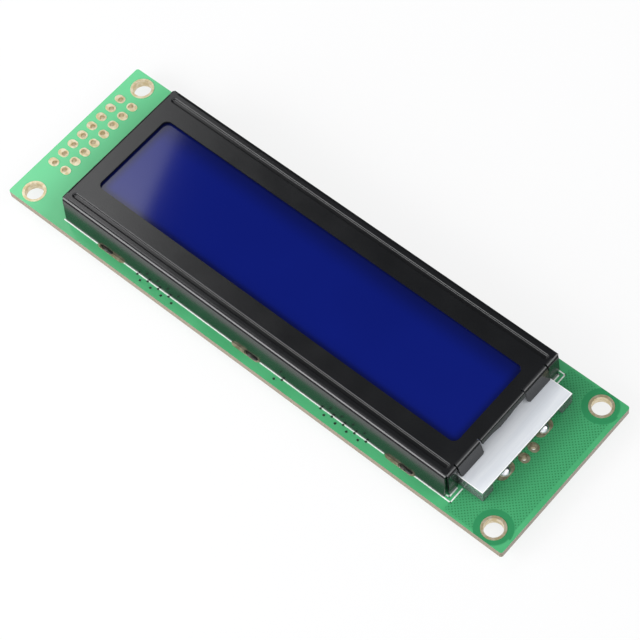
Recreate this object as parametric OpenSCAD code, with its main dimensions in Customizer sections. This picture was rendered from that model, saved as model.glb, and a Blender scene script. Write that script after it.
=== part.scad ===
// Character LCD module: a blue transmissive glass cell in a folded black steel bezel, over an edge-lit
// acrylic backlight, on a green circuit board with a plated header and four screw holes.
// Millimetres. X runs along the board towards the backlight's lamp end, +Z is up through the glass.
// X and Y are zero at the middle of the board's outline, and Z is zero at the tips of the bezel's lugs.

/* [Circuit board] */
// Length of the board
board_l = 115; // [95:0.5:150]
// Width of the board
board_w = 34.6; // [34:0.1:44]
// Thickness of the laminate
board_t = 1.6; // [0.8:0.1:2.4]
// Radius of the board's corners
board_corner_r = 0.5; // [0.2:0.1:2]
// Thickness of the plated copper, on the faces and in the holes
copper_t = 0.05; // [0.03:0.01:0.1]

/* [Screw holes] */
// Diameter of the four plated screw holes
screw_hole_d = 3.5; // [2.5:0.1:3.6]
// Width of the plated ring round each screw hole
screw_ring_w = 0.5; // [0.3:0.05:0.8]
// Distance of the screw holes from the board's ends
screw_edge_l = 3.9; // [3:0.1:5]
// Distance of the screw holes from the board's long edges
screw_edge_w = 2.85; // [2.4:0.05:4]

/* [Header and lead holes] */
// Pitch of the header holes and of the spare lead holes
pin_pitch = 2.54; // [2:0.01:2.54]
// Columns of header holes
header_columns = 2; // [1:1:2]
// Rows of header holes
header_rows = 8; // [2:1:8]
// Diameter of a plated header hole
pin_hole_d = 1.0; // [0.7:0.05:1.1]
// Distance of the first header column from the board's end
header_edge = 2.48; // [2:0.02:3]
// How far the header is set towards the back edge
header_shift = 1.27; // [0:0.01:1.3]
// Length of a header pad, across the board's end
pin_pad_l = 2.15; // [1.8:0.05:2.3]
// Width of a header pad
pin_pad_w = 1.65; // [1.3:0.05:1.8]
// How far each header pad is set away from the other column
pin_pad_shift = 0.25; // [0:0.01:0.25]
// Height of the spare lead pads, across the board
lead_pad_w = 1.8; // [1.4:0.05:2]

/* [Bezel] */
// Free board at the header end of the bezel
bezel_left = 12.4; // [11:0.1:16]
// Free board at the lamp end of the bezel
bezel_right = 13.35; // [12:0.05:18]
// Free board in front of the bezel
bezel_front = 2.5; // [2:0.1:4]
// Free board behind the bezel
bezel_back = 2.0; // [1.6:0.1:4]
// Thickness of the steel sheet
sheet_t = 0.4; // [0.3:0.05:0.5]
// Outer radius of the folds
fold_r = 0.8; // [0.6:0.05:1]
// Angle that the long walls lean outward, where the steel has sprung back after folding
wall_lean = 4.5; // [0:0.5:6]
// Gap left at each corner between the two folded walls
corner_gap = 0.5; // [0.3:0.05:0.8]

/* [Bezel window] */
// Frame between the header end of the bezel and the window
frame_left = 3.7; // [3.5:0.1:6]
// Frame between the lamp end of the bezel and the window
frame_right = 3.1; // [3:0.1:6]
// Frame along each long side of the window
frame_side = 5.95; // [5.8:0.05:8]
// Radius of the window's corners
window_r = 1.2; // [0.5:0.1:2]

/* [Bezel grooves] */
// Distance of the pressed grooves from the bezel's long sides
groove_inset = 2.0; // [1.9:0.05:2.6]
// Radius of a groove's hollow and of its rounded lips
groove_r = 0.21; // [0.15:0.01:0.25]
// Distance of a groove's end from the header end of the bezel
groove_left = 1.6; // [1.5:0.1:4]
// Distance of a groove's end from the lamp end of the bezel
groove_right = 1.25; // [1.2:0.05:4]

/* [Bezel lugs] */
// Lugs along each long side
lug_count = 3; // [2:1:4]
// Distance of the first lug from the header end of the bezel
lug_left = 10.6; // [6:0.1:14]
// Distance of the last lug from the lamp end of the bezel
lug_right = 8.85; // [6:0.05:14]
// Width of a lug
lug_w = 2.5; // [2:0.1:2.8]
// How far a lug reaches below the board
lug_drop = 1.8; // [1.6:0.1:2.4]
// Angle that a lug's tip is twisted through to lock it
lug_twist = 35; // [20:5:45]
// Length of a lug slot in the board
slot_l = 3.2; // [3:0.1:4]
// Width of a lug slot in the board
slot_w = 1.2; // [1.1:0.1:1.3]
// Length of the tinned pad round a lug slot
slot_pad_l = 6.9; // [6.2:0.1:8]
// Width of the tinned pad round a lug slot
slot_pad_w = 2.0; // [1.9:0.05:2.05]
// How far a tinned pad is set along the board from its slot
slot_pad_shift = 1.2; // [0:0.1:1.5]
// How far a tinned pad is set inward from its slot
slot_pad_in = 0.3; // [0:0.05:0.3]

/* [Bezel lamp end] */
// Gap between the light guide's sides and the corner tabs
tab_gap = 0.2; // [0.1:0.05:0.4]
// Width of the slits between the tabs, flaps and lip
slit_w = 0.3; // [0.2:0.05:0.5]
// Width of each leaning flap
flap_w = 5.85; // [4:0.05:7]
// Angle that the flaps lean outward
flap_lean = 16.5; // [5:0.5:20]
// Clearance under the flaps, above the lamp end's cover film
flap_gap = 0.05; // [0.05:0.05:0.4]
// Angle that the short lip between the flaps leans outward
lip_lean = 21; // [0:1:30]
// Outer radius of the lip's tight fold
lip_r = 0.5; // [0.5:0.05:0.8]
// Depth of the lip below its fold, at its two ends
lip_drop = 0.75; // [0.4:0.05:0.9]
// How much deeper the lip's uneven trimmed edge is at its lowest
lip_wave = 0.35; // [0:0.05:0.4]
// Size of the small chamfer at each flap's lower corners
flap_chamfer = 0.3; // [0.1:0.05:0.6]

/* [Glass cell] */
// Thickness of each sheet of glass
glass_t = 1.1; // [0.7:0.1:1.5]
// Thickness of each polarizer film
polarizer_t = 0.2; // [0.1:0.02:0.25]
// How far the polarizers reach past the window
polarizer_lap = 1.1; // [0.6:0.1:1.5]
// Gap between the ends of the front glass and the bezel's walls
glass_end_gap = 0.9; // [0.5:0.1:2]
// Gap between the long edges of the front glass and the bezel's walls
glass_side_gap = 0.55; // [0.3:0.05:0.7]
// Width of each contact ledge, where the front glass overhangs the rear glass
ledge_w = 2.9; // [2.6:0.1:3.2]
// Play between the front glass and the grooves that hold it down
glass_play = 0.03; // [0.01:0.01:0.05]

/* [Contact strips] */
// Thickness of the rubber contact strips
strip_w = 1.6; // [1.2:0.1:1.8]
// Distance of a strip's ends from the ends of the front glass
strip_inset = 1.0; // [0.5:0.1:3]
// Contacts on the board under each strip
contact_count = 58; // [20:1:70]

/* [Backlight] */
// Thickness of the acrylic light guide
guide_t = 3.0; // [2:0.1:4]
// Least gap between the light guide and the contact strips
guide_gap = 0.08; // [0.05:0.01:0.3]
// How far the light guide's lamp end reaches past the bezel
guide_reach = 5.15; // [4.5:0.05:7]
// Thickness of the white reflector under the light guide
reflector_t = 0.2; // [0.1:0.05:0.3]
// Thickness of the diffuser film over the light guide
diffuser_t = 0.15; // [0.1:0.05:0.25]
// Thickness of the cover film over the lamp end
cover_t = 0.1; // [0.05:0.05:0.15]
// Length of the lamp recess in the light guide
recess_l = 3.7; // [3:0.1:4]
// Width of each ear beside the lamp recess
ear_w = 2.7; // [2:0.1:4]
// Thickness of the plate over the lamp recess
recess_roof = 0.4; // [0.3:0.05:0.8]
// Distance of the lamp board's two pins from the end of the light guide
lamp_pin_edge = 0.95; // [0.8:0.05:1.5]
// Distance between the lamp board's two pins
lamp_pin_spacing = 10.3; // [6:0.1:14]
// Side of a square lamp pin
lamp_pin_w = 0.5; // [0.4:0.05:0.6]
// How far the lamp pins reach below the board
lamp_pin_drop = 1.0; // [0.8:0.1:1.4]
// Number of lamps on the lamp board
lamp_count = 3; // [1:1:4]
// Length of the oval pad round a lamp pin, across the board
lamp_pad_l = 4.1; // [3:0.1:5]
// Width of the oval pad round a lamp pin
lamp_pad_w = 2.7; // [2.2:0.1:3]
// Diameter of the solder domes on the lamp pins
solder_d = 2.4; // [1.6:0.1:2.6]
// Height of the solder domes on the lamp pins
solder_h = 0.85; // [0.5:0.05:1.1]

/* [Parts under the board] */
// Diameter of the epoxy cap over the controller die
controller_cap_d = 16; // [12:0.5:18]
// Diameter of the epoxy cap over the driver die
driver_cap_d = 14; // [10:0.5:16]
// Height of the epoxy caps
cap_h = 1.4; // [1.2:0.05:1.55]
// Distance of each epoxy cap from the middle of the board
cap_offset = 22; // [16:0.5:30]
// Length of a chip resistor or capacitor
chip_l = 2.0; // [1.6:0.1:2]
// Width of a chip resistor or capacitor
chip_w = 1.25; // [0.8:0.05:1.25]

/* [Hidden] */
$fn = 64;
eps = 0.01;
lap = 0.03;

// The lip's uneven edge: each point's share of the lip's width, and its share of the wave's depth
lip_edge = [[0.2, 1], [0.4, 0], [0.6, 1 / 3], [0.75, 1]];

// Heights, stacked up from the lug tips
board_z = lug_drop;
deck_z = board_z + board_t;
pad_z = deck_z + copper_t;
guide_z = deck_z + reflector_t;
guide_top = guide_z + guide_t;
rear_polarizer_z = guide_top + diffuser_t;
rear_glass_z = rear_polarizer_z + polarizer_t;
front_glass_z = rear_glass_z + glass_t;
front_glass_top = front_glass_z + glass_t;
groove_depth = 2 * groove_r;
bezel_z = front_glass_top + glass_play + groove_depth + sheet_t;

// Plan of the bezel and its window
bezel_x0 = -board_l / 2 + bezel_left;
bezel_x1 = board_l / 2 - bezel_right;
bezel_y0 = -board_w / 2 + bezel_front;
bezel_y1 = board_w / 2 - bezel_back;
cell_y = (bezel_y0 + bezel_y1) / 2;
half_wall = (bezel_y1 - bezel_y0) / 2;
groove_y = half_wall - groove_inset;
window_x0 = bezel_x0 + frame_left;
window_x1 = bezel_x1 - frame_right;
window_half = half_wall - frame_side;

// Plan of the glass cell and its films
glass_x0 = bezel_x0 + sheet_t + glass_end_gap;
glass_x1 = bezel_x1 - sheet_t - glass_end_gap;
glass_half = half_wall - sheet_t - glass_side_gap;
rear_half = glass_half - ledge_w;
film_x0 = window_x0 - polarizer_lap;
film_x1 = window_x1 + polarizer_lap;
film_half = window_half + polarizer_lap;

// Plan of the backlight, which is centred on the board
guide_overrun = 0.5;
cover_gap = 0.3;
reflector_inset = 0.5;
lamp_board_end_gap = 1.2;
lamp_board_gap = 0.1;
lamp_pin_top_gap = 0.3;
guide_x0 = film_x0 - guide_overrun;
guide_x1 = bezel_x1 + guide_reach;
guide_half = groove_y - abs(cell_y) - strip_w / 2 - guide_gap;
cover_x0 = film_x1 + cover_gap;
recess_x0 = guide_x1 - recess_l;
recess_half = guide_half - ear_w;
recess_top = guide_top - recess_roof;
lamp_pin_x = guide_x1 - lamp_pin_edge;
lamp_board_t = 0.6;
lamp_board_x1 = lamp_pin_x - lamp_pin_w / 2;
lamp_board_half = recess_half - lamp_board_end_gap;
lamp_board_z = pad_z + solder_h + lamp_board_gap;
lamp_board_top = recess_top - lamp_board_gap;
lamp_size = [1, 2.6, 1.4];
lamp_pitch = 2 * lamp_board_half / lamp_count;

// Plan of the holes
screw_x = board_l / 2 - screw_edge_l;
screw_y = board_w / 2 - screw_edge_w;
header_x = -board_l / 2 + header_edge;
header_y = header_shift - (header_rows - 1) / 2 * pin_pitch;
spare_lead_gap = 0.2;
spare_x = guide_x1 + spare_lead_gap;
wall_leg = flange_leg(fold_r, wall_lean, pad_z);
wall_foot = half_wall - fold_r * (1 - cos(wall_lean)) + wall_leg * sin(wall_lean);
lug_y = wall_foot - sheet_t / 2;
lug_pitch = (bezel_x1 - bezel_x0 - lug_left - lug_right) / (lug_count - 1);
lug_places = [for (i = [0 : lug_count - 1]) bezel_x0 + lug_left + i * lug_pitch];
strip_x0 = glass_x0 + strip_inset;
strip_x1 = glass_x1 - strip_inset;
contact_share = 0.55;
contact_margin = 0.1;

// Parts under the board: the middle of each chip, in plan
chip_h = 0.5;
end_cap_l = 0.4;
end_cap_t = 0.03;
die_size = [3.2, 2.6, 0.4];
chip_pitch = 2.6;
resistor_row_y = 3;
capacitor_row_y = -4;
lamp_resistor_inset = 6;
lamp_resistor_y = 2;
resistor_places = [for (i = [-2 : 2]) [i * chip_pitch, resistor_row_y]];
lamp_resistor_places = [for (side = [-1, 1]) [lamp_pin_x - lamp_resistor_inset, side * lamp_resistor_y]];
capacitor_places = [for (side = [-1, 1]) [side * chip_pitch, capacitor_row_y]];

// ---- Shared shapes ----

// A flat rectangle between two corners, with round corners
module rounded_rectangle(x0, x1, y0, y1, r) {
    translate([x0 + r, y0]) square([x1 - x0 - 2 * r, y1 - y0]);
    translate([x0, y0 + r]) square([x1 - x0, y1 - y0 - 2 * r]);
    for (x = [x0 + r, x1 - r], y = [y0 + r, y1 - r]) translate([x, y]) circle(r);
}

// A slot outline with round ends, along X; a circle when it is as long as it is wide
module slot_outline(length, width) {
    flat = length - width;
    if (flat > eps) square([flat, width], center = true);
    for (side = flat > eps ? [-1, 1] : [0]) translate([side * flat / 2, 0]) circle(d = width);
}

// A round drop standing on z = 0, a slice of a sphere
module dome(d, h) {
    sphere_r = (d * d / 4 + h * h) / (2 * h);
    rotate_extrude() intersection() {
        translate([0, h - sphere_r]) circle(sphere_r, $fn = 360);
        square([d, h + eps]);
    }
}

// A box between two corners in plan and two heights
module slab(x0, x1, y0, y1, z0, z1) {
    translate([x0, y0, z0]) cube([x1 - x0, y1 - y0, z1 - z0]);
}

// A box set to both sides of the cell's centre line
module cell_layer(x0, x1, half, z0, z1) {
    slab(x0, x1, cell_y - half, cell_y + half, z0, z1);
}

// A box set to both sides of the board's centre line
module backlight_layer(x0, x1, half, z0, z1) {
    slab(x0, x1, -half, half, z0, z1);
}

// ---- Holes in the board ----

module at_screw_holes() {
    for (x = [-screw_x, screw_x], y = [-screw_y, screw_y]) translate([x, y]) children();
}

// Each header column is mirrored, so that its pads' long ends face away from the other column
module at_header_holes() {
    for (column = [0 : header_columns - 1], row = [0 : header_rows - 1])
        translate([header_x + column * pin_pitch, header_y + row * pin_pitch])
            mirror([column == 0 ? 1 : 0, 0]) children();
}

module at_spare_holes() {
    for (side = [-1, 1]) translate([spare_x, side * pin_pitch / 2]) children();
}

module at_lamp_pins() {
    for (side = [-1, 1]) translate([lamp_pin_x, side * lamp_pin_spacing / 2]) children();
}

// The drilled or milled hole that a plated lining fits
module drilled(length, width) {
    translate([0, 0, board_z - 1])
        linear_extrude(board_t + 2) slot_outline(length + 2 * copper_t, width + 2 * copper_t);
}

// One plated hole: a lining through the board and a pad on each face
module plated(length, width, pad_l, pad_w, pad_shift = [0, 0]) {
    translate([0, 0, board_z - copper_t]) difference() {
        union() {
            linear_extrude(board_t + 2 * copper_t) slot_outline(length + 2 * copper_t, width + 2 * copper_t);
            for (z = [0, board_t + copper_t])
                translate([pad_shift.x, pad_shift.y, z]) linear_extrude(copper_t) slot_outline(pad_l, pad_w);
        }
        translate([0, 0, -1]) linear_extrude(board_t + 2) slot_outline(length, width);
    }
}

// ---- Circuit board ----

module circuit_board() {
    color("seagreen") difference() {
        translate([0, 0, board_z]) linear_extrude(board_t)
            rounded_rectangle(-board_l / 2, board_l / 2, -board_w / 2, board_w / 2, board_corner_r);
        at_screw_holes() drilled(screw_hole_d, screw_hole_d);
        at_header_holes() drilled(pin_hole_d, pin_hole_d);
        at_spare_holes() drilled(pin_hole_d, pin_hole_d);
        at_lamp_pins() drilled(pin_hole_d, pin_hole_d);
        for (x = lug_places, side = [-1, 1]) translate([x, cell_y + side * lug_y]) drilled(slot_l, slot_w);
    }
}

module screw_hole_plating() {
    ring_d = screw_hole_d + 2 * screw_ring_w;
    color("khaki") at_screw_holes() plated(screw_hole_d, screw_hole_d, ring_d, ring_d);
}

module header_plating() {
    color("khaki") at_header_holes()
        plated(pin_hole_d, pin_hole_d, pin_pad_l, pin_pad_w, [pin_pad_shift, 0]);
}

module spare_lead_plating() {
    color("khaki") at_spare_holes() plated(pin_hole_d, pin_hole_d, pin_pad_l, lead_pad_w);
}

module lamp_pin_plating() {
    color("khaki") at_lamp_pins() rotate(90)
        plated(pin_hole_d, pin_hole_d, lamp_pad_l, lamp_pad_w);
}

// The first pad of each row runs on towards the lamp end, and the others towards the header
module lug_slot_plating() {
    color("khaki") for (i = [0 : lug_count - 1], side = [-1, 1])
        translate([lug_places[i], cell_y + side * lug_y])
            plated(slot_l, slot_w, slot_pad_l, slot_pad_w,
                [(i == 0 ? 1 : -1) * slot_pad_shift, -side * slot_pad_in]);
}

// Flat contacts that the rubber strips press on
module strip_contacts() {
    pitch = (strip_x1 - strip_x0) / contact_count;
    color("khaki") for (side = [-1, 1], i = [0 : contact_count - 1])
        translate([strip_x0 + (i + 0.5) * pitch, cell_y + side * groove_y, deck_z + copper_t / 2])
            cube([pitch * contact_share, strip_w - 2 * contact_margin, copper_t], center = true);
}

// ---- Bezel ----

// A flange folded down from the edge of a flat sheet whose top face is z = 0 and whose edge is the Y axis.
// The fold turns down towards +X until the flange leans outward from vertical by the stated angle, and
// the leg is the flange's length below the fold.
module flange(width, outer_r, lean, leg) {
    turn = 90 - lean;
    translate([0, width, 0]) rotate([90, 0, 0]) linear_extrude(width) {
        translate([-fold_r, -sheet_t]) square([fold_r, sheet_t]);
        translate([0, -outer_r]) {
            intersection() {
                difference() {
                    circle(outer_r);
                    circle(outer_r - sheet_t);
                }
                polygon([[0, 0], [0, 2 * outer_r], [2 * outer_r, 2 * outer_r],
                    2 * outer_r * [sin(turn), cos(turn)]]);
            }
            rotate(-turn) translate([-lap, outer_r - sheet_t]) square([leg + lap, sheet_t]);
        }
    }
}

// Places a trimming outline on a flange: X runs down the leg from its end, and Y along the side
module on_flange_end(outer_r, lean, leg) {
    turn = 90 - lean;
    translate([0, 0, -outer_r]) rotate([0, turn, 0]) translate([leg, 0, outer_r - 2 * sheet_t])
        linear_extrude(3 * sheet_t) children();
}

// Length that a flange needs, below a fold of this radius and lean, for its lowest corner to reach a height
function flange_leg(outer_r, lean, height) =
    (bezel_z - outer_r + (outer_r - sheet_t) * sin(lean) - height) / cos(lean);

// The twisted end of a lug, which locks it under the board: the neck turns, and the tip below it is straight
module lug_tip() {
    neck = board_z / 2;
    translate([0, 0, board_z]) mirror([0, 0, 1])
        linear_extrude(neck, twist = lug_twist, slices = 6, $fn = 4) square([lug_w, sheet_t], center = true);
    translate([0, 0, (neck + lap) / 2]) rotate(lug_twist) cube([lug_w, sheet_t, neck + lap], center = true);
}

// The front wall with its lugs, drawn about the cell's centre line; the back wall is its mirror image
module long_wall() {
    x0 = bezel_x0 + corner_gap;
    translate([x0, fold_r - half_wall, bezel_z]) rotate(-90)
        flange(bezel_x1 - corner_gap - x0, fold_r, wall_lean, wall_leg);
    for (x = lug_places) {
        slab(x - lug_w / 2, x + lug_w / 2, -wall_foot, sheet_t - wall_foot, board_z - lap, pad_z + sheet_t);
        translate([x, -lug_y, 0]) lug_tip();
    }
}

// The plain wall at the header end
module header_end_wall() {
    width = 2 * (half_wall - corner_gap);
    translate([bezel_x0 + fold_r, cell_y + width / 2, bezel_z]) rotate(180)
        flange(width, fold_r, 0, flange_leg(fold_r, 0, pad_z));
}

// A corner tab of the lamp end, beside the light guide, down to the board
module corner_tab(y0, y1) {
    translate([bezel_x1 - fold_r, y0, bezel_z])
        flange(y1 - y0, fold_r, 0, flange_leg(fold_r, 0, pad_z));
}

// A leaning flap of the lamp end, whose foot rests just above the cover film, with small corner chamfers
module leaning_flap(y0) {
    leg = flange_leg(fold_r, flap_lean, guide_top + cover_t + flap_gap);
    translate([bezel_x1 - fold_r, y0, bezel_z]) difference() {
        flange(flap_w, fold_r, flap_lean, leg);
        on_flange_end(fold_r, flap_lean, leg) for (y = [0, flap_w]) translate([0, y]) rotate(45)
            square(flap_chamfer * sqrt(2), center = true);
    }
}

// The short lip between the flaps, left by trimming the wall away over the backlight, with an uneven edge
module trimmed_lip(y0, y1) {
    width = y1 - y0;
    translate([bezel_x1 - lip_r, y0, bezel_z]) difference() {
        flange(width, lip_r, lip_lean, lip_drop + lip_wave);
        on_flange_end(lip_r, lip_lean, lip_drop + lip_wave)
            polygon(concat([[1, -1], [-lip_wave, -1]], [for (p = lip_edge) [-lip_wave * p[1], width * p[0]]],
                [[-lip_wave, width + 1], [1, width + 1]]));
    }
}

// Half of a groove's section below the top face, from its middle plane outward. It has a narrow flat bottom
// and round corners, and grown by the sheet's thickness it is the bulge under the sheet.
module groove_half_section(grow) {
    translate([0, -groove_depth - grow]) square([groove_r, groove_depth + grow]);
    translate([0, -groove_r]) square([2 * groove_r + grow, groove_r]);
    translate([groove_r, -groove_r]) intersection() {
        circle(groove_r + grow);
        translate([0, -groove_r - grow]) square(groove_r + grow);
    }
}

// Half of the hollow's section: the same, with a lip rounded where the sheet turns down into it
module hollow_half_section() {
    groove_half_section(0);
    translate([2 * groove_r, -groove_r]) difference() {
        square(groove_r);
        translate([groove_r, 0]) circle(groove_r);
    }
}

// The two round-ended grooves along the long sides, from half of their section
module along_grooves() {
    x0 = bezel_x0 + groove_left + 2 * groove_r;
    length = bezel_x1 - groove_right - 2 * groove_r - x0;
    for (side = [-1, 1]) translate([x0, cell_y + side * groove_y, bezel_z]) {
        rotate([90, 0, 90]) linear_extrude(length) {
            children();
            mirror([1, 0]) children();
        }
        for (x = [0, length]) translate([x, 0, 0]) rotate_extrude() children();
    }
}

module bezel() {
    flap_y = guide_half + tab_gap - slit_w;
    lip_y = flap_y - flap_w - slit_w;
    color("#1f2022") difference() {
        union() {
            slab(bezel_x0 + fold_r, bezel_x1 - fold_r, bezel_y0 + fold_r, bezel_y1 - fold_r,
                bezel_z - sheet_t, bezel_z);
            along_grooves() groove_half_section(sheet_t);
            for (side = [0, 1]) translate([0, cell_y, 0]) mirror([0, side, 0]) long_wall();
            header_end_wall();
            corner_tab(bezel_y0 + corner_gap, -guide_half - tab_gap);
            corner_tab(guide_half + tab_gap, bezel_y1 - corner_gap);
            leaning_flap(-flap_y);
            leaning_flap(flap_y - flap_w);
            trimmed_lip(-lip_y, lip_y);
        }
        along_grooves() hollow_half_section();
        translate([0, 0, bezel_z - 2 * sheet_t]) linear_extrude(3 * sheet_t)
            rounded_rectangle(window_x0, window_x1, cell_y - window_half, cell_y + window_half, window_r);
    }
}

// ---- Glass cell ----

module front_polarizer() {
    color("#1a2266") cell_layer(film_x0, film_x1, film_half, front_glass_top, front_glass_top + polarizer_t);
}

module front_glass() {
    color("#2a3550") cell_layer(glass_x0, glass_x1, glass_half, front_glass_z, front_glass_top);
}

// The dab of resin that closes the cell's filling port, on the header end of the two glasses
module fill_port_plug() {
    plug_r = 1.6;
    plug_h = 0.35;
    color("wheat") intersection() {
        translate([glass_x0 + plug_r - plug_h, cell_y, front_glass_z]) sphere(plug_r);
        cell_layer(glass_x0 - 1, glass_x0, glass_half, rear_glass_z, front_glass_top);
    }
}

module rear_glass() {
    color("#2a3550") cell_layer(glass_x0, glass_x1, rear_half, rear_glass_z, front_glass_z);
}

module rear_polarizer() {
    color("#1a2266") cell_layer(film_x0, film_x1, film_half, rear_polarizer_z, rear_glass_z);
}

module contact_strip(side) {
    color("dimgray") translate([0, cell_y + side * groove_y, 0])
        backlight_layer(strip_x0, strip_x1, strip_w / 2, pad_z, front_glass_z);
}

module contact_strip_front() {
    contact_strip(-1);
}

module contact_strip_back() {
    contact_strip(1);
}

// ---- Backlight ----

module diffuser_film() {
    color("white") cell_layer(film_x0, film_x1, film_half, guide_top, rear_polarizer_z);
}

// A clear block whose lamp end is hollowed from below between two ears
module light_guide() {
    color("lightcyan") difference() {
        backlight_layer(guide_x0, guide_x1, guide_half, guide_z, guide_top);
        backlight_layer(recess_x0, guide_x1 + 1, recess_half, guide_z - 1, recess_top);
    }
}

module reflector_sheet() {
    color("white") backlight_layer(guide_x0, bezel_x1 - reflector_inset, guide_half, deck_z, guide_z);
}

module cover_film() {
    color("gainsboro") backlight_layer(cover_x0, guide_x1, guide_half, guide_top, guide_top + cover_t);
}

// A narrow board on edge in the recess, which carries the lamps on its inner face
module lamp_board() {
    color("ivory") backlight_layer(lamp_board_x1 - lamp_board_t, lamp_board_x1, lamp_board_half,
        lamp_board_z, lamp_board_top);
}

module lamps() {
    lamp_x = lamp_board_x1 - lamp_board_t - lamp_size.x / 2;
    lamp_z = (lamp_board_z + lamp_board_top) / 2;
    color("lightyellow") for (i = [0 : lamp_count - 1])
        translate([lamp_x, (i - (lamp_count - 1) / 2) * lamp_pitch, lamp_z]) cube(lamp_size, center = true);
}

// Square pins from the lamp board's outer face down through the circuit board
module lamp_pins() {
    color("silver") at_lamp_pins() translate([-lamp_pin_w / 2, -lamp_pin_w / 2, board_z - lamp_pin_drop])
        cube([lamp_pin_w, lamp_pin_w, lamp_board_top - lamp_pin_top_gap - board_z + lamp_pin_drop]);
}

// Solder round each lamp pin: a dome above the board, a dome below it, and the fill of the hole between
module lamp_pin_solder() {
    color("silver") at_lamp_pins() difference() {
        union() {
            translate([0, 0, pad_z]) dome(solder_d, solder_h);
            translate([0, 0, board_z - copper_t]) cylinder(h = board_t + 2 * copper_t, d = pin_hole_d);
            translate([0, 0, board_z - copper_t]) mirror([0, 0, 1]) dome(solder_d, solder_h);
        }
        translate([0, 0, deck_z]) cube([lamp_pin_w, lamp_pin_w, 4 * board_t], center = true);
    }
}

// ---- Parts under the board ----

module at_controller() {
    translate([-cap_offset, 0, board_z]) children();
}

module at_driver() {
    translate([cap_offset, 0, board_z]) children();
}

// A bare die, face down on the underside of the board
module die() {
    translate([-die_size.x / 2, -die_size.y / 2, -die_size.z]) cube(die_size);
}

// The drop of epoxy cured over a die
module epoxy_cap(d) {
    difference() {
        mirror([0, 0, 1]) dome(d, cap_h);
        die();
    }
}

module controller_die() {
    color("slategray") at_controller() die();
}

module controller_cap() {
    color("#15171a") at_controller() epoxy_cap(controller_cap_d);
}

module driver_die() {
    color("slategray") at_driver() die();
}

module driver_cap() {
    color("#15171a") at_driver() epoxy_cap(driver_cap_d);
}

// The body of a chip part, held one end cap's thickness off the board
module chip_body() {
    translate([-chip_w / 2, -chip_l / 2, -chip_h - end_cap_t]) cube([chip_w, chip_l, chip_h]);
}

// The two metal end caps of a chip part, each wrapped over five faces of the body's end
module chip_end_caps() {
    cap_y = (chip_l - end_cap_l + end_cap_t) / 2;
    difference() {
        for (side = [-1, 1]) translate([0, side * cap_y, -chip_h / 2 - end_cap_t])
            cube([chip_w + 2 * end_cap_t, end_cap_l + end_cap_t, chip_h + 2 * end_cap_t], center = true);
        chip_body();
    }
}

module at_chips(places) {
    for (place = places) translate([place.x, place.y, board_z]) children();
}

module chip_resistors() {
    color("#22242a") at_chips(concat(resistor_places, lamp_resistor_places)) chip_body();
}

module chip_capacitors() {
    color("tan") at_chips(capacitor_places) chip_body();
}

module chip_terminals() {
    color("silver") at_chips(concat(resistor_places, lamp_resistor_places, capacitor_places)) chip_end_caps();
}

circuit_board();
screw_hole_plating();
header_plating();
spare_lead_plating();
lamp_pin_plating();
lug_slot_plating();
strip_contacts();
bezel();
front_polarizer();
front_glass();
fill_port_plug();
rear_glass();
rear_polarizer();
contact_strip_front();
contact_strip_back();
diffuser_film();
light_guide();
reflector_sheet();
cover_film();
lamp_board();
lamp_pins();
lamps();
lamp_pin_solder();
controller_die();
controller_cap();
driver_die();
driver_cap();
chip_resistors();
chip_capacitors();
chip_terminals();
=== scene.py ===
import math

import bmesh
import bpy
from mathutils import Euler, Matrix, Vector


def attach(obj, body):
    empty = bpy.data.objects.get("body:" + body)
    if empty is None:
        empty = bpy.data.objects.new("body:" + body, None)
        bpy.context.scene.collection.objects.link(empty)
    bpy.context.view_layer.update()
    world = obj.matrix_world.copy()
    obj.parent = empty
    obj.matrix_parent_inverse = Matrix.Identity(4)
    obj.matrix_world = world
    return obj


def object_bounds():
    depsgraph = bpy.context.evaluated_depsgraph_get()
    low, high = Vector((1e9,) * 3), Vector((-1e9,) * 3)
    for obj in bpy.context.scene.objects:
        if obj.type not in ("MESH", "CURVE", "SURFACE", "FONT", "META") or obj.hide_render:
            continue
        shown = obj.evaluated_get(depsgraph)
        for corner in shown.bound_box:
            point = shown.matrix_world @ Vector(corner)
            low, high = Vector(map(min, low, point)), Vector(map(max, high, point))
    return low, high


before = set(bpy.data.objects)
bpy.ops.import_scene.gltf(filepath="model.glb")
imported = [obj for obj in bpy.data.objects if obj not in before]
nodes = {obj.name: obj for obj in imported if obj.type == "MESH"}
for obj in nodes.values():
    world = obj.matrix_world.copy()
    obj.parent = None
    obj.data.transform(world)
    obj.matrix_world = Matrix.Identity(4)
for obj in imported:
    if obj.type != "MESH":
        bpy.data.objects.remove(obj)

cad_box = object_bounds()
scene = bpy.context.scene
MM = 0.001


# ---- Studio ----
# A plain white table with a soft box low in front on the left, a dimmer one high on the left, and a weaker
# one on the right. The room beyond is dark, but for a soft glow behind the camera.

def linear(code):
    """A colour written as sRGB hex, as the linear values that Blender works in."""
    parts = [int(code[i:i + 2], 16) / 255 for i in (0, 2, 4)]
    return tuple(c / 12.92 if c <= 0.04045 else ((c + 0.055) / 1.055) ** 2.4 for c in parts) + (1.0,)


def add(tree, kind, sockets=None, **settings):
    """A shader node with its settings. Each socket, by name or number, is given a value, a socket to link, or
    a node, whose first output in use is linked."""
    made = tree.nodes.new("ShaderNode" + kind)
    for name, value in settings.items():
        setattr(made, name, value)
    for key, value in (sockets or {}).items():
        if isinstance(value, bpy.types.Node):
            value = next(output for output in value.outputs if output.enabled)
        if isinstance(value, bpy.types.NodeSocket):
            tree.links.new(value, made.inputs[key])
        else:
            made.inputs[key].default_value = value
    return made


SMOOTH = {"interpolation_type": "SMOOTHSTEP"}

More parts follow.
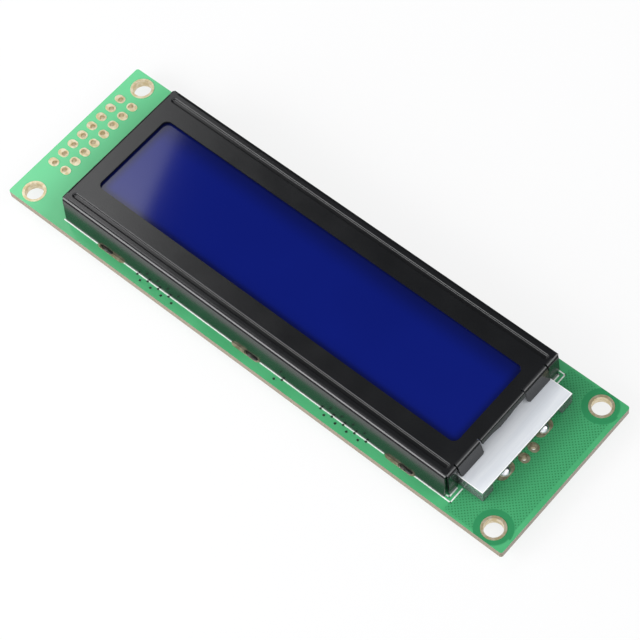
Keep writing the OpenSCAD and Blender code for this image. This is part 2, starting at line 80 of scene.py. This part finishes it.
camera = bpy.data.objects.new("camera", bpy.data.cameras.new("camera"))
scene.collection.objects.link(camera)
camera.data.sensor_width = 36
camera.data.lens = 130.157
camera.data.clip_start, camera.data.clip_end = 0.01, 50
camera.location = Vector((158.958, -135.857, 351.193)) * MM
camera.rotation_euler = Euler([math.radians(a) for a in (30.01751, 4.66919, 41.04154)], "XYZ")
scene.camera = camera

scene.view_settings.view_transform = "Standard"

TABLE_R = 4
mesh = bpy.data.meshes.new("table_top")
form = bmesh.new()
bmesh.ops.create_circle(form, cap_ends=True, segments=96, radius=TABLE_R)
form.to_mesh(mesh)
form.free()
table_top = bpy.data.objects.new("table_top", mesh)
scene.collection.objects.link(table_top)

# White paper: so brightly lit that it looks white from above, with a faint shadow left on it. In reflections
# it shows a painted glow that fades away from the board's outline, and the bezel's folds mirror that painted
# reflection.
paper = bpy.data.materials.new("white_paper")
paper.use_nodes = True
tree = paper.node_tree
tree.nodes.clear()
path = add(tree, "LightPath")
place = add(tree, "TexCoord")
spot = add(tree, "SeparateXYZ", {0: place.outputs["Object"]})
gaps = []
for axis in (0, 1):
    out = add(tree, "Math", {0: spot.outputs[axis]}, operation="ABSOLUTE")
    gaps.append(add(tree, "Math", {0: out, 1: cad_box[1][axis]}, operation="SUBTRACT"))
gap = add(tree, "Math", {0: gaps[0], 1: gaps[1]}, operation="MAXIMUM")
# Painted reflection: glossy rays see the paper as a glow, strong near the board's outline and fading away
# from it.
painted_reflection_falloff = add(tree, "MapRange", {"Value": gap, "From Min": 0.004, "From Max": 0.014,
                              "To Min": 0.8, "To Max": 0.1}, **SMOOTH)
painted_reflection_glow = add(tree, "Emission", {"Color": linear("ffffff"), "Strength": painted_reflection_falloff})
seen = add(tree, "Math", {0: path.outputs["Is Camera Ray"], 1: path.outputs["Is Transmission Ray"]},
           operation="MAXIMUM")
share = add(tree, "Math", {0: seen, 1: 0.8}, operation="MULTIPLY")
sheet = add(tree, "BsdfDiffuse", {"Color": linear("ececec")})
glow = add(tree, "Emission", {"Color": linear("ffffff"), "Strength": 1.0})
direct = add(tree, "MixShader", {0: share, 1: sheet, 2: glow})
both = add(tree, "MixShader", {0: path.outputs["Is Glossy Ray"], 1: direct, 2: painted_reflection_glow})
add(tree, "OutputMaterial", {"Surface": both})
table_top.data.materials.append(paper)

# The room: dark overhead, pale low round the horizon, and softly bright behind the camera.
room = bpy.data.worlds.new("studio")
room.use_nodes = True
tree = room.node_tree
tree.nodes.clear()
way = add(tree, "TexCoord")
height = add(tree, "SeparateXYZ", {0: way.outputs["Generated"]})
low = add(tree, "MapRange", {"Value": height.outputs["Z"], "From Min": -0.05, "From Max": 0.1,
                             "To Min": 0.12, "To Max": 0.0}, **SMOOTH)
side = add(tree, "VectorMath", {0: way.outputs["Generated"], 1: (0.55, -0.45, 0.70)}, operation="DOT_PRODUCT")
lobe = add(tree, "MapRange", {"Value": side, "From Min": 0.25, "From Max": 0.95,
                              "To Min": 0.07, "To Max": 1.25}, **SMOOTH)
total = add(tree, "Math", {0: low, 1: lobe}, operation="ADD")
sky = add(tree, "Background", {"Color": linear("fbfcff"), "Strength": total})
add(tree, "OutputWorld", {"Surface": sky})
scene.world = room


def soft_box(name, place, size, radiance, turn=None):
    """A rectangular soft light of a stated radiance, which no camera sees. It faces the object, or with a
    turn in degrees it faces straight down."""
    light = bpy.data.lights.new(name, "AREA")
    light.shape = "RECTANGLE"
    light.size, light.size_y = size
    light.energy = radiance * math.pi * size[0] * size[1]
    lamp = bpy.data.objects.new(name, light)
    scene.collection.objects.link(lamp)
    lamp.visible_camera = False
    lamp.location = place
    if turn is None:
        lamp.rotation_euler = Vector(place).to_track_quat("Z", "Y").to_euler()
    else:
        lamp.rotation_euler = (0, 0, math.radians(turn))
    return lamp


soft_box("front_box", (-0.26, -0.50, 0.26), (0.62, 0.36), 6.0)
soft_box("right_box", (0.42, 0.22, 0.34), (0.26, 0.26), 2.6)
# One half of the high one is dimmer, with a soft step between the halves, which the display mirrors.
window_box = soft_box("window_box", (-0.556, 0.163, 0.603), (0.6, 0.4), 2.4, turn=-67.6)
window_box.data.use_nodes = True
tree = window_box.data.node_tree
tree.nodes.clear()
face = add(tree, "NewGeometry")
along = add(tree, "SeparateXYZ", {0: face.outputs["Parametric"]})
grade = add(tree, "MapRange", {"Value": along.outputs["X"], "From Min": 0.42, "From Max": 0.58,
                               "To Min": 0.6, "To Max": 1.1}, **SMOOTH)
shine = add(tree, "Emission", {"Color": linear("ffffff"), "Strength": grade})
add(tree, "OutputLight", {"Surface": shine})


# ---- Circuit board ----
# One sheet of woven glass laminate, 1.6 mm thick, punched with round-cornered edges and coated on both faces
# with green solder mask. Below the mask lie copper tracks, and at the lamp end a copper mesh.

def new_material(name):
    """A material with an empty node tree, and the tree."""
    made = bpy.data.materials.new(name)
    made.use_nodes = True
    made.node_tree.nodes.clear()
    return made, made.node_tree


def coat_node(name, material):
    """Gives a CAD node a better material, in its own slots."""
    for place in nodes[name].material_slots:
        place.material = material


def in_mm(tree):
    """Object coordinates in millimetres: the vector, and its three parts."""
    place = add(tree, "TexCoord")
    vector = add(tree, "VectorMath", {0: place.outputs["Object"], "Scale": 1 / MM}, operation="SCALE")
    parts = add(tree, "SeparateXYZ", {0: vector})
    return vector, *parts.outputs


def distance_to(tree, x, y, place):
    """Distance in plan, in millimetres, from a place on the board."""
    flat = add(tree, "CombineXYZ", {0: x, 1: y})
    return add(tree, "VectorMath", {0: flat, 1: (*place, 0)}, operation="DISTANCE")


# Solder mask on laminate: a slick translucent green skin, palest at the header end.
SCREW_X, SCREW_Y = 53.6, 14.45
mask, tree = new_material("solder_mask_on_laminate")
vector, x, y, z = in_mm(tree)
cloud = add(tree, "TexNoise", {"Vector": vector, "Scale": 0.09, "Detail": 2.0, "Roughness": 0.5})
tone = add(tree, "MapRange", {"Value": cloud, "From Min": 0.35, "From Max": 0.65}, **SMOOTH)
ground = add(tree, "Mix", {0: tone, 6: linear("46a56c"), 7: linear("50b076")}, data_type="RGBA")
# Paler towards the header end: partly the laminate with no copper under it, partly a painted glow of light
# coming up through the board.
header_end = add(tree, "MapRange", {"Value": x, "From Min": -44.0, "From Max": -56.0}, **SMOOTH)
ground = add(tree, "Mix", {0: header_end, 6: ground, 7: linear("62c98c")}, data_type="RGBA")

# The mesh: holes in the copper on a lattice turned 45 degrees, 0.505 mm apart. It stops short of the screws,
# the board's edges and its corners, and each screw at its end has a plain darker disc round it.
LATTICE = 2 * math.pi * 1.4
waves = []
for part in (x, y):
    turned = add(tree, "Math", {0: part, 1: LATTICE}, operation="MULTIPLY")
    waves.append(add(tree, "Math", {0: turned}, operation="COSINE"))
across = add(tree, "Math", {0: waves[0], 1: waves[1]}, operation="MULTIPLY")
dots = add(tree, "MapRange", {"Value": across, "From Min": 0.25, "From Max": 0.75}, **SMOOTH)
screw_gap = add(tree, "Math", {0: distance_to(tree, x, y, (SCREW_X, SCREW_Y)),
                               1: distance_to(tree, x, y, (SCREW_X, -SCREW_Y))}, operation="MINIMUM")
high = add(tree, "Math", {0: y}, operation="ABSOLUTE")
corner_x = add(tree, "MapRange", {"Value": x, "From Min": 53.5, "From Max": 53.7}, **SMOOTH)
corner_y = add(tree, "MapRange", {"Value": high, "From Min": 14.4, "From Max": 14.6}, **SMOOTH)
corner = add(tree, "Math", {0: corner_x, 1: corner_y}, operation="MULTIPLY")
meshed = add(tree, "Math", {0: 1.0, 1: corner}, operation="SUBTRACT")
for value, start, end in ((x, 44.9, 45.1), (x, 56.7, 56.6), (high, 16.9, 16.7), (screw_gap, 3.42, 3.5)):
    limit = add(tree, "MapRange", {"Value": value, "From Min": start, "From Max": end}, **SMOOTH)
    meshed = add(tree, "Math", {0: meshed, 1: limit}, operation="MULTIPLY")
disc = add(tree, "MapRange", {"Value": screw_gap, "From Min": 3.5, "From Max": 3.42}, **SMOOTH)
rim = add(tree, "MapRange", {"Value": screw_gap, "From Min": 3.0, "From Max": 3.3}, **SMOOTH)
cut = add(tree, "Math", {0: corner, 1: rim}, operation="MULTIPLY")
kept = add(tree, "Math", {0: 1.0, 1: cut}, operation="SUBTRACT")
disc = add(tree, "Math", {0: disc, 1: kept}, operation="MULTIPLY")
copper = add(tree, "Math", {0: meshed, 1: 0.85}, operation="MULTIPLY")
holes = add(tree, "Math", {0: meshed, 1: dots}, operation="MULTIPLY")
skin = ground
for amount, colour in ((disc, "2f8a57"), (copper, "43a06a"), (holes, "2c7a48")):
    skin = add(tree, "Mix", {0: amount, 6: skin, 7: linear(colour)}, data_type="RGBA")

# The cut edge shows the laminate, brown and faintly woven.
facing = add(tree, "NewGeometry")
upright = add(tree, "SeparateXYZ", {0: facing.outputs["Normal"]})
level = add(tree, "Math", {0: upright.outputs["Z"]}, operation="ABSOLUTE")
flat = add(tree, "MapRange", {"Value": level, "From Min": 0.4, "From Max": 0.6}, **SMOOTH)
weave = add(tree, "TexNoise", {"Vector": vector, "Scale": 3.0, "Detail": 3.0})
side = add(tree, "Mix", {0: weave, 6: linear("7b6d58"), 7: linear("8a7c66")}, data_type="RGBA")
body = add(tree, "Mix", {0: flat, 6: side, 7: skin}, data_type="RGBA")
swell = add(tree, "Math", {0: cloud, 1: 0.6}, operation="MULTIPLY")
relief = add(tree, "Math", {0: swell, 1: holes}, operation="SUBTRACT")
bump = add(tree, "Bump", {"Height": relief, "Strength": 0.35, "Distance": 0.00002})
shader = add(tree, "BsdfPrincipled", {"Base Color": body, "Roughness": 0.22, "IOR": 1.5, "Normal": bump})
add(tree, "OutputMaterial", {"Surface": shader})
coat_node("circuit_board", mask)


# ---- White print ----
# Thin lines of epoxy ink, screened on the mask, which mark the outline of the bezel: an outer rectangle,
# broken at the lug pads, and a short inner one at the lamp end.

PRINT_W = 0.25
PRINT_T = 0.02
DECK = 3.4
print_lines = [
    [(-44.9, -15.33), (-36.74, -15.33)],
    [(-30.09, -15.33), (-4.03, -15.33)],
    [(2.64, -15.33), (30.58, -15.33)],
    [(37.25, -15.33), (45.08, -15.33), (45.08, -12.2)],
    [(45.08, 13.0), (45.08, 15.42), (43.9, 15.42)],
    [(43.77, -14.65), (44.3, -14.65), (44.3, -12.6)],
    [(44.3, 13.2), (44.3, 14.8), (43.9, 14.8)],
]


def strip(form, path, width, z0, z1):
    """Adds a flat strip of square section along a path with square corners."""
    for (ax, ay), (bx, by) in zip(path, path[1:]):
        made = bmesh.ops.create_cube(form, size=1)["verts"]
        middle = Vector(((ax + bx) / 2, (ay + by) / 2, (z0 + z1) / 2))
        long = Vector((abs(bx - ax) + width, abs(by - ay) + width, z1 - z0))
        bmesh.ops.scale(form, vec=long, verts=made)
        bmesh.ops.translate(form, vec=middle, verts=made)


def piece(name, form, material):
    """A finished piece from a bmesh worked in millimetres: it rides on the module's one body."""
    bmesh.ops.scale(form, vec=(MM, MM, MM), verts=form.verts)
    mesh = bpy.data.meshes.new(name)
    form.to_mesh(mesh)
    form.free()
    mesh.materials.append(material)
    made = bpy.data.objects.new(name, mesh)
    scene.collection.objects.link(made)
    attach(made, "root")


# Screened epoxy ink: chalky white, a little thin in places.
ink, tree = new_material("white_epoxy_ink")
vector = in_mm(tree)[0]
grain = add(tree, "TexNoise", {"Vector": vector, "Scale": 6.0, "Detail": 2.0})
thin = add(tree, "MapRange", {"Value": grain, "From Min": 0.4, "From Max": 0.7}, **SMOOTH)
white = add(tree, "Mix", {0: thin, 6: linear("f6fbf5"), 7: linear("cfe6d6")}, data_type="RGBA")
shader = add(tree, "BsdfPrincipled", {"Base Color": white, "Roughness": 0.6})
add(tree, "OutputMaterial", {"Surface": shader})
form = bmesh.new()
for line in print_lines:
    strip(form, line, PRINT_W, DECK, DECK + PRINT_T)
piece("white_print", form, ink)


# ---- Vias ----
# Small plated holes that lead tracks through the board, filled and skinned over by the mask: each shows as a
# dark spot, in two staggered rows along the front edge.

VIA_D = 0.5
VIA_T = 0.03
VIA_PITCH = 1.27
INNER_ROW = -15.5
via_places = [(-26.6 + VIA_PITCH * k, -16.2 if k % 2 else INNER_ROW) for k in range(8)]
via_places += [(6.55, -16.2), (7.8, INNER_ROW)]
via_places += [(16.65 + VIA_PITCH * k, -16.15 if k % 2 else INNER_ROW) for k in range(9)]
form = bmesh.new()
for px, py in via_places:
    made = bmesh.ops.create_cone(form, cap_ends=True, segments=20, radius1=VIA_D / 2,
                                 radius2=VIA_D / 2 - VIA_T, depth=VIA_T)["verts"]
    bmesh.ops.translate(form, vec=(px, py, DECK + VIA_T / 2), verts=made)
# Mask over a hole: nearly black green, glossy.
via_skin, tree = new_material("mask_over_hole")
vector = in_mm(tree)[0]
grain = add(tree, "TexNoise", {"Vector": vector, "Scale": 4.0})
dark = add(tree, "Mix", {0: grain, 6: linear("0d2418"), 7: linear("1b4029")}, data_type="RGBA")
shader = add(tree, "BsdfPrincipled", {"Base Color": dark, "Roughness": 0.3})
add(tree, "OutputMaterial", {"Surface": shader})
piece("vias", form, via_skin)


# ---- Plated holes and pads ----
# Copper linings and pads, plated by immersion, a little domed and uneven: the screw rings, header pads and
# display contacts are pale cream gold, and the pads that were soldered or fluxed are duller.

def metal_finish(name, low, high, roughness, scale=1.2, bump=0.4, depth=0.00003):
    """A metal whose colour wanders between two tones, with a fine uneven skin."""
    made, tree = new_material(name)
    vector = in_mm(tree)[0]
    patch = add(tree, "TexNoise", {"Vector": vector, "Scale": scale, "Detail": 3.0})
    tone = add(tree, "MapRange", {"Value": patch, "From Min": 0.35, "From Max": 0.65}, **SMOOTH)
    colour = add(tree, "Mix", {0: tone, 6: linear(low), 7: linear(high)}, data_type="RGBA")
    skin = add(tree, "Bump", {"Height": patch, "Strength": bump, "Distance": depth})
    shader = add(tree, "BsdfPrincipled", {"Base Color": colour, "Metallic": 1.0, "Roughness": roughness,
                                          "Normal": skin})
    add(tree, "OutputMaterial", {"Surface": shader})
    return made


# Gilded copper, matt from its plating bath.
gilt = metal_finish("immersion_gilt", "d9c79c", "efe3c8", 0.42)
for name in ("screw_hole_plating", "header_plating", "strip_contacts"):
    coat_node(name, gilt)
# The same metal dulled by flux.
dull_gilt = metal_finish("flux_dulled_gilt", "9c9478", "c9c2a6", 0.5)
for name in ("spare_lead_plating", "lamp_pin_plating", "lug_slot_plating"):
    coat_node(name, dull_gilt)


# ---- Backlight ----
# A clear cast acrylic light guide lies on a silvered reflector sheet. A soft white cover film hides its lamp
# end, where a narrow lamp board stands on edge in a recess, held by two pins soldered through the board.

# Silvered polyester film, satin.
silver = metal_finish("silvered_film", "d8dade", "eceef2", 0.28, bump=0.1)
coat_node("reflector_sheet", silver)

# Cast acrylic: clear with a faint green tint.
acrylic, tree = new_material("cast_acrylic")
vector = in_mm(tree)[0]
draw = add(tree, "TexNoise", {"Vector": vector, "Scale": 0.6})
bump = add(tree, "Bump", {"Height": draw, "Strength": 0.05, "Distance": 0.00002})
shader = add(tree, "BsdfPrincipled", {"Base Color": linear("dff0ea"), "Roughness": 0.08, "IOR": 1.49,
                                      "Transmission Weight": 0.9, "Normal": bump})
add(tree, "OutputMaterial", {"Surface": shader})
coat_node("light_guide", acrylic)

# White polyester film: satin, faintly streaked along its rolling direction, with a painted highlight along
# its cut edges.
FILM_X, FILM_Y = 49.2, 11.82
film, tree = new_material("white_polyester_film")
vector, x, y, z = in_mm(tree)
stretch = add(tree, "Mapping", {"Vector": vector, "Scale": (0.9, 0.06, 1.0)})
streak = add(tree, "TexNoise", {"Vector": stretch, "Scale": 1.0, "Detail": 3.0})
tone = add(tree, "MapRange", {"Value": streak, "From Min": 0.3, "From Max": 0.7}, **SMOOTH)
body = add(tree, "Mix", {0: tone, 6: linear("d9dde2"), 7: linear("e6e9ec")}, data_type="RGBA")
high = add(tree, "Math", {0: y}, operation="ABSOLUTE")
# Painted highlight: the film turns white close to its cut end and sides.
painted_end_highlight = add(tree, "MapRange", {"Value": x, "From Min": FILM_X - 0.1, "From Max": FILM_X}, **SMOOTH)
painted_side_highlight = add(tree, "MapRange", {"Value": high, "From Min": FILM_Y - 0.08, "From Max": FILM_Y}, **SMOOTH)
rim = add(tree, "Math", {0: painted_end_highlight, 1: painted_side_highlight}, operation="MAXIMUM")
white = add(tree, "Mix", {0: rim, 6: body, 7: linear("ffffff")}, data_type="RGBA")
shader = add(tree, "BsdfPrincipled", {"Base Color": white, "Roughness": 0.32, "IOR": 1.55})
add(tree, "OutputMaterial", {"Surface": shader})
for name in ("cover_film", "diffuser_film"):
    coat_node(name, film)

# Lamp board laminate, white-masked.
white_mask, tree = new_material("white_mask_on_laminate")
vector = in_mm(tree)[0]
patch = add(tree, "TexNoise", {"Vector": vector, "Scale": 1.0})
white = add(tree, "Mix", {0: patch, 6: linear("cdd2c4"), 7: linear("e3e6dc")}, data_type="RGBA")
shader = add(tree, "BsdfPrincipled", {"Base Color": white, "Roughness": 0.35})
add(tree, "OutputMaterial", {"Surface": shader})
coat_node("lamp_board", white_mask)

# Lamp body: pale yellow silicone, cast.
lamp_body, tree = new_material("cast_silicone_lamp")
vector = in_mm(tree)[0]
patch = add(tree, "TexNoise", {"Vector": vector, "Scale": 0.8})
cream = add(tree, "Mix", {0: patch, 6: linear("e6dfb8"), 7: linear("f4f0da")}, data_type="RGBA")
shader = add(tree, "BsdfPrincipled", {"Base Color": cream, "Roughness": 0.25})
add(tree, "OutputMaterial", {"Surface": shader})
coat_node("lamps", lamp_body)

# Tin solder: bright and liquid-smooth, with a light frosting.
solder = metal_finish("bright_tin_solder", "c6c8cc", "e9eaec", 0.16, scale=1.6, bump=0.25)
for name in ("lamp_pin_solder", "lamp_pins"):
    coat_node(name, solder)


# ---- Display cell ----
# Two sheets of float glass sealed at the edge with liquid crystal between, and a polarizer film on each face.
# Unlit, the cell looks deep blue through the front film; painted shade darkens it under the rim of the bezel.

# Front polarizer: deep blue seen through a hard-coated film, darkened by painted shade along the frame. Each
# side of the window has its place, how far the painted shade reaches in from it, and how much colour is left
# at the side.
blue, tree = new_material("polarizer_over_blue_cell")
vector, x, y, z = in_mm(tree)
# Painted shade: a factor that darkens the blue towards each side of the window.
painted_shade = 1.0
for value, edge, reach, left in ((x, -41.4, 2.4, 0.35), (x, 41.05, -1.8, 0.6), (y, -8.85, 1.7, 0.6),
                                 (y, 9.35, -4.75, 0.5)):
    rim = add(tree, "MapRange", {"Value": value, "From Min": edge, "From Max": edge + reach, "To Min": left},
              **SMOOTH)
    painted_shade = add(tree, "Math", {0: painted_shade, 1: rim}, operation="MULTIPLY")
drift = add(tree, "TexNoise", {"Vector": vector, "Scale": 0.04, "Detail": 2.0})
tone = add(tree, "MapRange", {"Value": drift, "From Min": 0.3, "From Max": 0.7}, **SMOOTH)
deep = add(tree, "Mix", {0: tone, 6: linear("06156a"), 7: linear("07176f")}, data_type="RGBA")
colour = add(tree, "Mix", {0: painted_shade, 6: linear("04060c"), 7: deep}, data_type="RGBA")
shader = add(tree, "BsdfPrincipled", {"Base Color": colour, "Roughness": 0.06, "IOR": 1.5})
add(tree, "OutputMaterial", {"Surface": shader})
for name in ("front_polarizer", "rear_polarizer"):
    coat_node(name, blue)

# Float glass over the cell: dark, blue-grey and polished.
glass, tree = new_material("float_glass_cell")
vector = in_mm(tree)[0]
wave = add(tree, "TexNoise", {"Vector": vector, "Scale": 0.2})
colour = add(tree, "Mix", {0: wave, 6: linear("182038"), 7: linear("222c4c")}, data_type="RGBA")
shader = add(tree, "BsdfPrincipled", {"Base Color": colour, "Roughness": 0.05})
add(tree, "OutputMaterial", {"Surface": shader})
for name in ("front_glass", "rear_glass"):
    coat_node(name, glass)

# Resin plug: amber, wetted on.
resin, tree = new_material("cured_resin")
vector = in_mm(tree)[0]
patch = add(tree, "TexNoise", {"Vector": vector, "Scale": 1.5})
amber = add(tree, "Mix", {0: patch, 6: linear("b8924a"), 7: linear("d6b877")}, data_type="RGBA")
shader = add(tree, "BsdfPrincipled", {"Base Color": amber, "Roughness": 0.2, "Transmission Weight": 0.3})
add(tree, "OutputMaterial", {"Surface": shader})
coat_node("fill_port_plug", resin)

# Contact rubber: silicone in fine layers, black and pale in turn, drawn coarser than the real 0.1 mm.
LAYER_PITCH = 0.4
rubber, tree = new_material("layered_contact_rubber")
vector, x, y, z = in_mm(tree)
turned = add(tree, "Math", {0: x, 1: 2 * math.pi / LAYER_PITCH}, operation="MULTIPLY")
layer = add(tree, "Math", {0: turned}, operation="SINE")
pale = add(tree, "MapRange", {"Value": layer, "From Min": -0.2, "From Max": 0.2}, **SMOOTH)
colour = add(tree, "Mix", {0: pale, 6: linear("2a2a2c"), 7: linear("a9a6a0")}, data_type="RGBA")
shader = add(tree, "BsdfPrincipled", {"Base Color": colour, "Roughness": 0.7})
add(tree, "OutputMaterial", {"Surface": shader})
for name in ("contact_strip_front", "contact_strip_back"):
    coat_node(name, rubber)


# ---- Bezel ----
# One blank of mild steel sheet, 0.4 mm thick, pressed with two grooves, folded down on four sides and coated
# with satin black paint before assembly. Its lugs pass through the board and are twisted to lock it.

# Satin black paint: even, with a fine peel in it and a sheen that wanders slightly.
black, tree = new_material("satin_black_paint")
vector = in_mm(tree)[0]
peel = add(tree, "TexNoise", {"Vector": vector, "Scale": 5.0, "Detail": 3.0, "Roughness": 0.6})
haze = add(tree, "TexNoise", {"Vector": vector, "Scale": 0.15, "Detail": 3.0})
colour = add(tree, "Mix", {0: haze, 6: linear("0e0f11"), 7: linear("151618")}, data_type="RGBA")
sheen = add(tree, "MapRange", {"Value": haze, "From Min": 0.2, "From Max": 0.8,
                               "To Min": 0.18, "To Max": 0.22}, **SMOOTH)
bump = add(tree, "Bump", {"Height": peel, "Strength": 0.12, "Distance": 0.00001})
shader = add(tree, "BsdfPrincipled", {"Base Color": colour, "Roughness": sheen, "IOR": 1.6, "Normal": bump})
add(tree, "OutputMaterial", {"Surface": shader})
coat_node("bezel", black)


# ---- Parts under the board ----
# Two bare dies under drops of black epoxy, five bias resistors, two lamp resistors and two capacitors, all
# fixed to the underside.

# Epoxy drop: glossy black, slightly rippled as it cured.
epoxy, tree = new_material("cured_black_epoxy")
vector = in_mm(tree)[0]
ripple = add(tree, "TexNoise", {"Vector": vector, "Scale": 0.25, "Detail": 2.0})
colour = add(tree, "Mix", {0: ripple, 6: linear("111213"), 7: linear("1a1b1d")}, data_type="RGBA")
bump = add(tree, "Bump", {"Height": ripple, "Strength": 0.3, "Distance": 0.0002})
shader = add(tree, "BsdfPrincipled", {"Base Color": colour, "Roughness": 0.25, "Normal": bump})
add(tree, "OutputMaterial", {"Surface": shader})
for name in ("controller_cap", "driver_cap"):
    coat_node(name, epoxy)

# Silicon die: polished grey.
silicon = metal_finish("polished_silicon", "4a4f58", "606672", 0.15, bump=0.05)
for name in ("controller_die", "driver_die"):
    coat_node(name, silicon)

# Resistor body: black glaze on alumina, smooth and slightly mottled.
glaze, tree = new_material("black_resistor_glaze")
vector = in_mm(tree)[0]
patch = add(tree, "TexNoise", {"Vector": vector, "Scale": 2.0})
colour = add(tree, "Mix", {0: patch, 6: linear("17181a"), 7: linear("26272a")}, data_type="RGBA")
shader = add(tree, "BsdfPrincipled", {"Base Color": colour, "Roughness": 0.35})
add(tree, "OutputMaterial", {"Surface": shader})
coat_node("chip_resistors", glaze)

# Capacitor body: tan ceramic, fired matt.
ceramic, tree = new_material("fired_tan_ceramic")
vector = in_mm(tree)[0]
patch = add(tree, "TexNoise", {"Vector": vector, "Scale": 2.5, "Detail": 3.0})
colour = add(tree, "Mix", {0: patch, 6: linear("a98458"), 7: linear("c09c70")}, data_type="RGBA")
shader = add(tree, "BsdfPrincipled", {"Base Color": colour, "Roughness": 0.5})
add(tree, "OutputMaterial", {"Surface": shader})
coat_node("chip_capacitors", ceramic)
coat_node("chip_terminals", solder)
